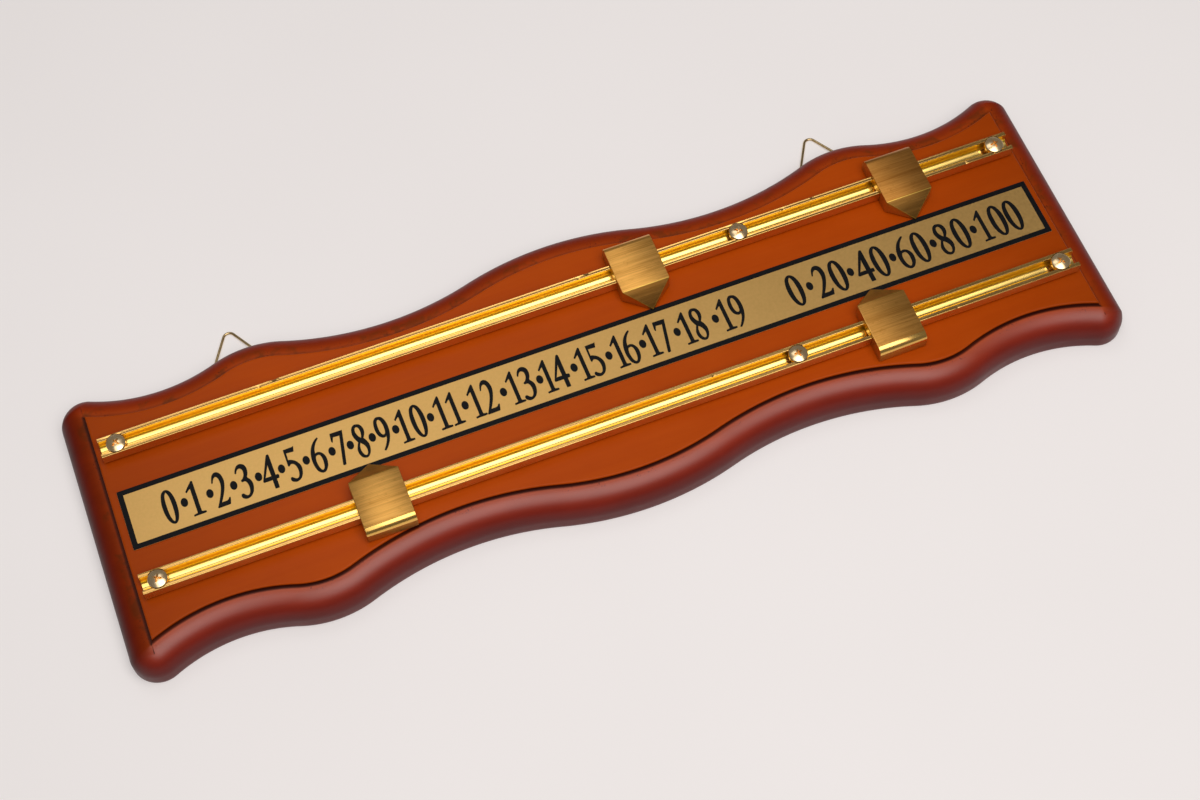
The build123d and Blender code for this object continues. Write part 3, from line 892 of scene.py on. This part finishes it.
def recess_mesh(head_r, head_h, turn):
    """Cross recess with four tapering arms and a pointed middle as one closed shape."""
    deep = head_h * 0.62
    # Each level: height above the head's top, then, as shares of the head's radius,
    # the reach of an arm, half its width and how far the inner corners stand out.
    levels = [
        (0.6, 0.58, 0.120, 0.22), (-0.08, 0.52, 0.090, 0.18), (-deep * 0.45, 0.34, 0.065, 0.14),
        (-deep * 0.8, 0.18, 0.050, 0.09), (-deep, 0.05, 0.030, 0.04),
    ]
    verts, faces = [], []
    for level, reach, half, corner in levels:
        for q in range(4):
            base = turn + math.pi / 2 * q
            for along, off in ((reach, -half), (reach, half)):
                x = along * math.cos(base) - off * math.sin(base)
                y = along * math.sin(base) + off * math.cos(base)
                verts.append((x * head_r, y * head_r, head_h + level))
            diagonal = base + math.pi / 4
            out = corner * head_r
            verts.append((out * math.cos(diagonal), out * math.sin(diagonal), head_h + level))
    n = 12
    rows = len(levels)
    faces += [tuple(range(n)), tuple(range((rows - 1) * n, rows * n))[::-1]]
    for k in range(rows - 1):
        for i in range(n):
            j = (i + 1) % n
            faces.append((k * n + i, k * n + j, (k + 1) * n + j, (k + 1) * n + i))
    return verts, faces


def make_screws(name, places, sizes, material, node, flip=False):
    """One object with a screw at each (x, y, z, turn); flip points them towards positive Z."""
    parts = []
    for index, (x, y, z, turn) in enumerate(places):
        obj = mesh_object(f"{name}_{index}", *screw_mesh(*sizes, math.radians(turn)), (material,))
        finish_mesh(obj, 35)
        cut(obj, [recess_mesh(sizes[0], sizes[1], math.radians(turn))])
        flipped = Matrix.Rotation(math.pi, 4, "X") if flip else Matrix.Identity(4)
        obj.data.transform(Matrix.Translation(Vector((x, y, z)) * MM) @ flipped)
        mark_sharp(obj, 32)
        parts.append(obj)
    joined = bmesh.new()
    for part in parts:
        joined.from_mesh(part.data)
    mesh = bpy.data.meshes.new(name)
    joined.to_mesh(mesh)
    joined.free()
    for part in parts:
        bpy.data.objects.remove(part)
    obj = link_object(name, mesh, (material,))
    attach(obj, "board")
    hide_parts(node)


# Head radius, head height, height of the head's side, shank radius and length.
RAIL_SCREW = (3.5, 2.6, 1.65, 1.75, 12.7)
HANGER_SCREW = (2.5, 1.5, 0.5, 1.4, 10.0)
TURNS = {"upper": (40, 62, 5), "lower": (65, 8, 30)}
rail_places = [(x, RAIL_Y[row], SEAT_Z, turn) for row in RAIL_Y for x, turn in zip(SCREW_X, TURNS[row])]
make_screws("rail_screws_crosshead", rail_places, RAIL_SCREW, SCREW, "rail_screws")

CLIP_SHEET = 0.6
HANGER_HEAD_Z = POCKET_DEPTH - 2 * CLIP_SHEET - 0.05
hanger_low, hanger_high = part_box("hanger_screws")
hanger_y = (hanger_low.y + hanger_high.y) / 2 / MM
clip_boxes = [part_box(side + "_hanger_clip") for side in ("left", "right")]
hanger_places = [((low.x + high.x) / 2 / MM, hanger_y, HANGER_HEAD_Z, 25 + 30 * i)
                 for i, (low, high) in enumerate(clip_boxes)]
make_screws("hanger_screws_crosshead", hanger_places, HANGER_SCREW, HANGER,
            "hanger_screws", flip=True)


# ---------------------------------------------------------------- sliders
SLIDER_HALF = 9.2  # half its width along the rail
NOSE_START = -9.5  # where the nose begins to slope and to narrow
NOSE_TIP = -16.9
NOSE_FLARE = 4.0  # how far the cutting wedges reach past the sides
# Material slots of a slider.
WALL, TOP, NOSE, ROUNDING = range(4)


def slider_section():
    """Side view of a slider in Y and Z, point towards negative Y, standing on the face at Z = 0."""
    back, top, foot, over = 11.4, 7.0, 0.3, 2.9
    lip, flank, tongue = 3.4, 4.1, 2.4
    lip_z, roof, tongue_z = 1.0, 5.6, 2.7
    left = [(NOSE_START, foot), (-lip, foot), (-lip, lip_z), (-flank, lip_z), (-flank, roof)]
    left += [(-tongue, roof), (-tongue, tongue_z)]
    right = [(-y, z) for y, z in left[:0:-1]] + [(back, foot)]
    rounding = arc_points(back - over, top - over, over, 0, 90, 20)
    nose = [(NOSE_START, top), (NOSE_TIP, 1.25), (NOSE_TIP, 0.75), (NOSE_START, 0.75)]
    return left + right + rounding + nose


def slider_slot(normal, height, upper):
    """Which material a face of a slider gets. Lower sliders have a smoother rounding than upper ones."""
    if normal.z > 0.999 and height > 6 * MM:
        return TOP
    if normal.z > 0.7 and normal.y < -0.5:
        return NOSE
    if normal.z > 0.02 and normal.y > 0.0:
        return TOP if upper else ROUNDING
    return WALL


def make_slider(node, top_light_tone, rough, nose_light_tone):
    """A pointer on its rail, turned round on the lower one."""
    low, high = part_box(node)
    x0 = (low.x + high.x) / 2 / MM
    upper = low.y > 0
    y0 = RAIL_Y["upper"] if upper else RAIL_Y["lower"]
    # Each slider's top and nose get their own brightness, set to how brightly each was lit: painted light
    # and shade.
    top = brushed_brass(node + "_top", (0.52, 0.225, 0.036), (1.0, 0.545, 0.140), rough, top_light_tone)
    nose = brushed_brass(node + "_nose", (0.30, 0.145, 0.028), (0.52, 0.27, 0.065), (0.28, 0.40), nose_light_tone)
    verts, faces = prism(slider_section(), -SLIDER_HALF, SLIDER_HALF, "x")
    materials = (SHADED_SLIDER_WALL, top, nose, SLIDER_SIDE)
    obj = mesh_object(node.replace("_slider", "_pointer"), verts, faces, materials)
    finish_mesh(obj, 30)
    outer = SLIDER_HALF + NOSE_FLARE
    wedge = [(SLIDER_HALF, NOSE_START), (outer, NOSE_START), (outer, -20), (0, -20), (0, NOSE_TIP)]
    cut(obj, [prism(wedge, -2, 9), prism([(-x, y) for x, y in wedge[::-1]], -2, 9)])
    bevel = obj.modifiers.new("soft_edges", "BEVEL")
    bevel.width = 0.13 * MM
    bevel.segments = 2
    bevel.limit_method = "ANGLE"
    bevel.angle_limit = math.radians(28)
    apply_modifier(obj)
    for face in obj.data.polygons:
        face.material_index = slider_slot(face.normal, face.center.z, upper)
    obj.data.polygons.foreach_set("use_smooth", [True] * len(obj.data.polygons))
    mark_sharp(obj, 32)
    turn = Matrix.Identity(4) if upper else Matrix.Rotation(math.pi, 4, "Z")
    obj.data.transform(Matrix.Translation(Vector((x0, y0, FACE_Z)) * MM) @ turn)
    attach(obj, node)
    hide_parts(node)


# The tones below paint in each slider's light and shade.
make_slider("upper_points_slider", 0.97, (0.36, 0.46), 0.72)
make_slider("upper_twenties_slider", 0.64, (0.36, 0.46), 0.80)
make_slider("lower_points_slider", 1.0, (0.33, 0.41), 1.75)
make_slider("lower_twenties_slider", 0.82, (0.36, 0.46), 1.75)


# ---------------------------------------------------------------- hangers keep their CAD shape
for hanger_node in ("left_hanger_ring", "right_hanger_ring", "left_hanger_clip", "right_hanger_clip"):
    hanger = NODES[hanger_node]
    if not hanger.material_slots:
        hanger.data.materials.append(HANGER)
    for material_slot in hanger.material_slots:
        material_slot.material = HANGER


# ---------------------------------------------------------------- stage, light and camera
TABLE_HALF = 6.0
TABLE_Z = -0.00005


def make_floor():
    """Pale table just under the board's back."""
    mesh = bpy.data.meshes.new("table")
    h = TABLE_HALF
    mesh.from_pydata([(-h, -h, 0), (h, -h, 0), (h, h, 0), (-h, h, 0)], [], [(0, 1, 2, 3)])
    obj = link_object("table", mesh, (floor_material(),))
    obj.location.z = TABLE_Z


def area_light(name, place, target, size, radiance, colour):
    """Soft rectangular light whose face has the given radiance."""
    data = bpy.data.lights.new(name, "AREA")
    data.shape = "RECTANGLE"
    data.size, data.size_y = size
    data.energy = radiance * math.pi * size[0] * size[1]
    data.color = colour
    obj = link_object(name, data)
    obj.location = place
    direction = Vector(target) - Vector(place)
    obj.rotation_euler = direction.to_track_quat("-Z", "Y").to_euler()


make_floor()
WARM = (1.0, 0.985, 0.97)
area_light("front_inner", (0.10, -0.31, 0.95), (0.03, 0, 0), (0.60, 0.70), 1.9, WARM)
area_light("front_outer", (0.02, -0.34, 0.97), (0, 0, 0), (1.02, 0.96), 1.50, WARM)
area_light("back_inner", (-0.09, 0.45, 0.93), (0.0, 0, 0), (0.46, 0.42), 0.92, WARM)
area_light("back_outer", (0.00, 0.48, 0.95), (-0.05, 0, 0), (0.70, 0.46), 0.36, WARM)

world = bpy.data.worlds.new("studio")
bpy.context.scene.world = world
world.use_nodes = True
background = world.node_tree.nodes["Background"]
background.inputs["Color"].default_value = (1.0, 0.98, 0.97, 1.0)
background.inputs["Strength"].default_value = 0.17

camera_data = bpy.data.cameras.new("camera")
camera_data.sensor_width = 36.0
camera_data.lens = 61.81
camera = link_object("camera", camera_data)
CAMERA_RIGHT = Vector((0.93319888, -0.35899749, -0.01614499))
CAMERA_UP = Vector((0.32599029, 0.82678109, 0.45843576))
CAMERA_BACK = Vector((-0.15122892, -0.43307485, 0.88858089))
matrix = Matrix((CAMERA_RIGHT, CAMERA_UP, CAMERA_BACK)).transposed().to_4x4()
matrix.translation = Vector((-0.11658, -0.33586, 0.67102))
camera.matrix_world = matrix
bpy.context.scene.camera = camera
bpy.context.scene.view_settings.view_transform = "Standard"
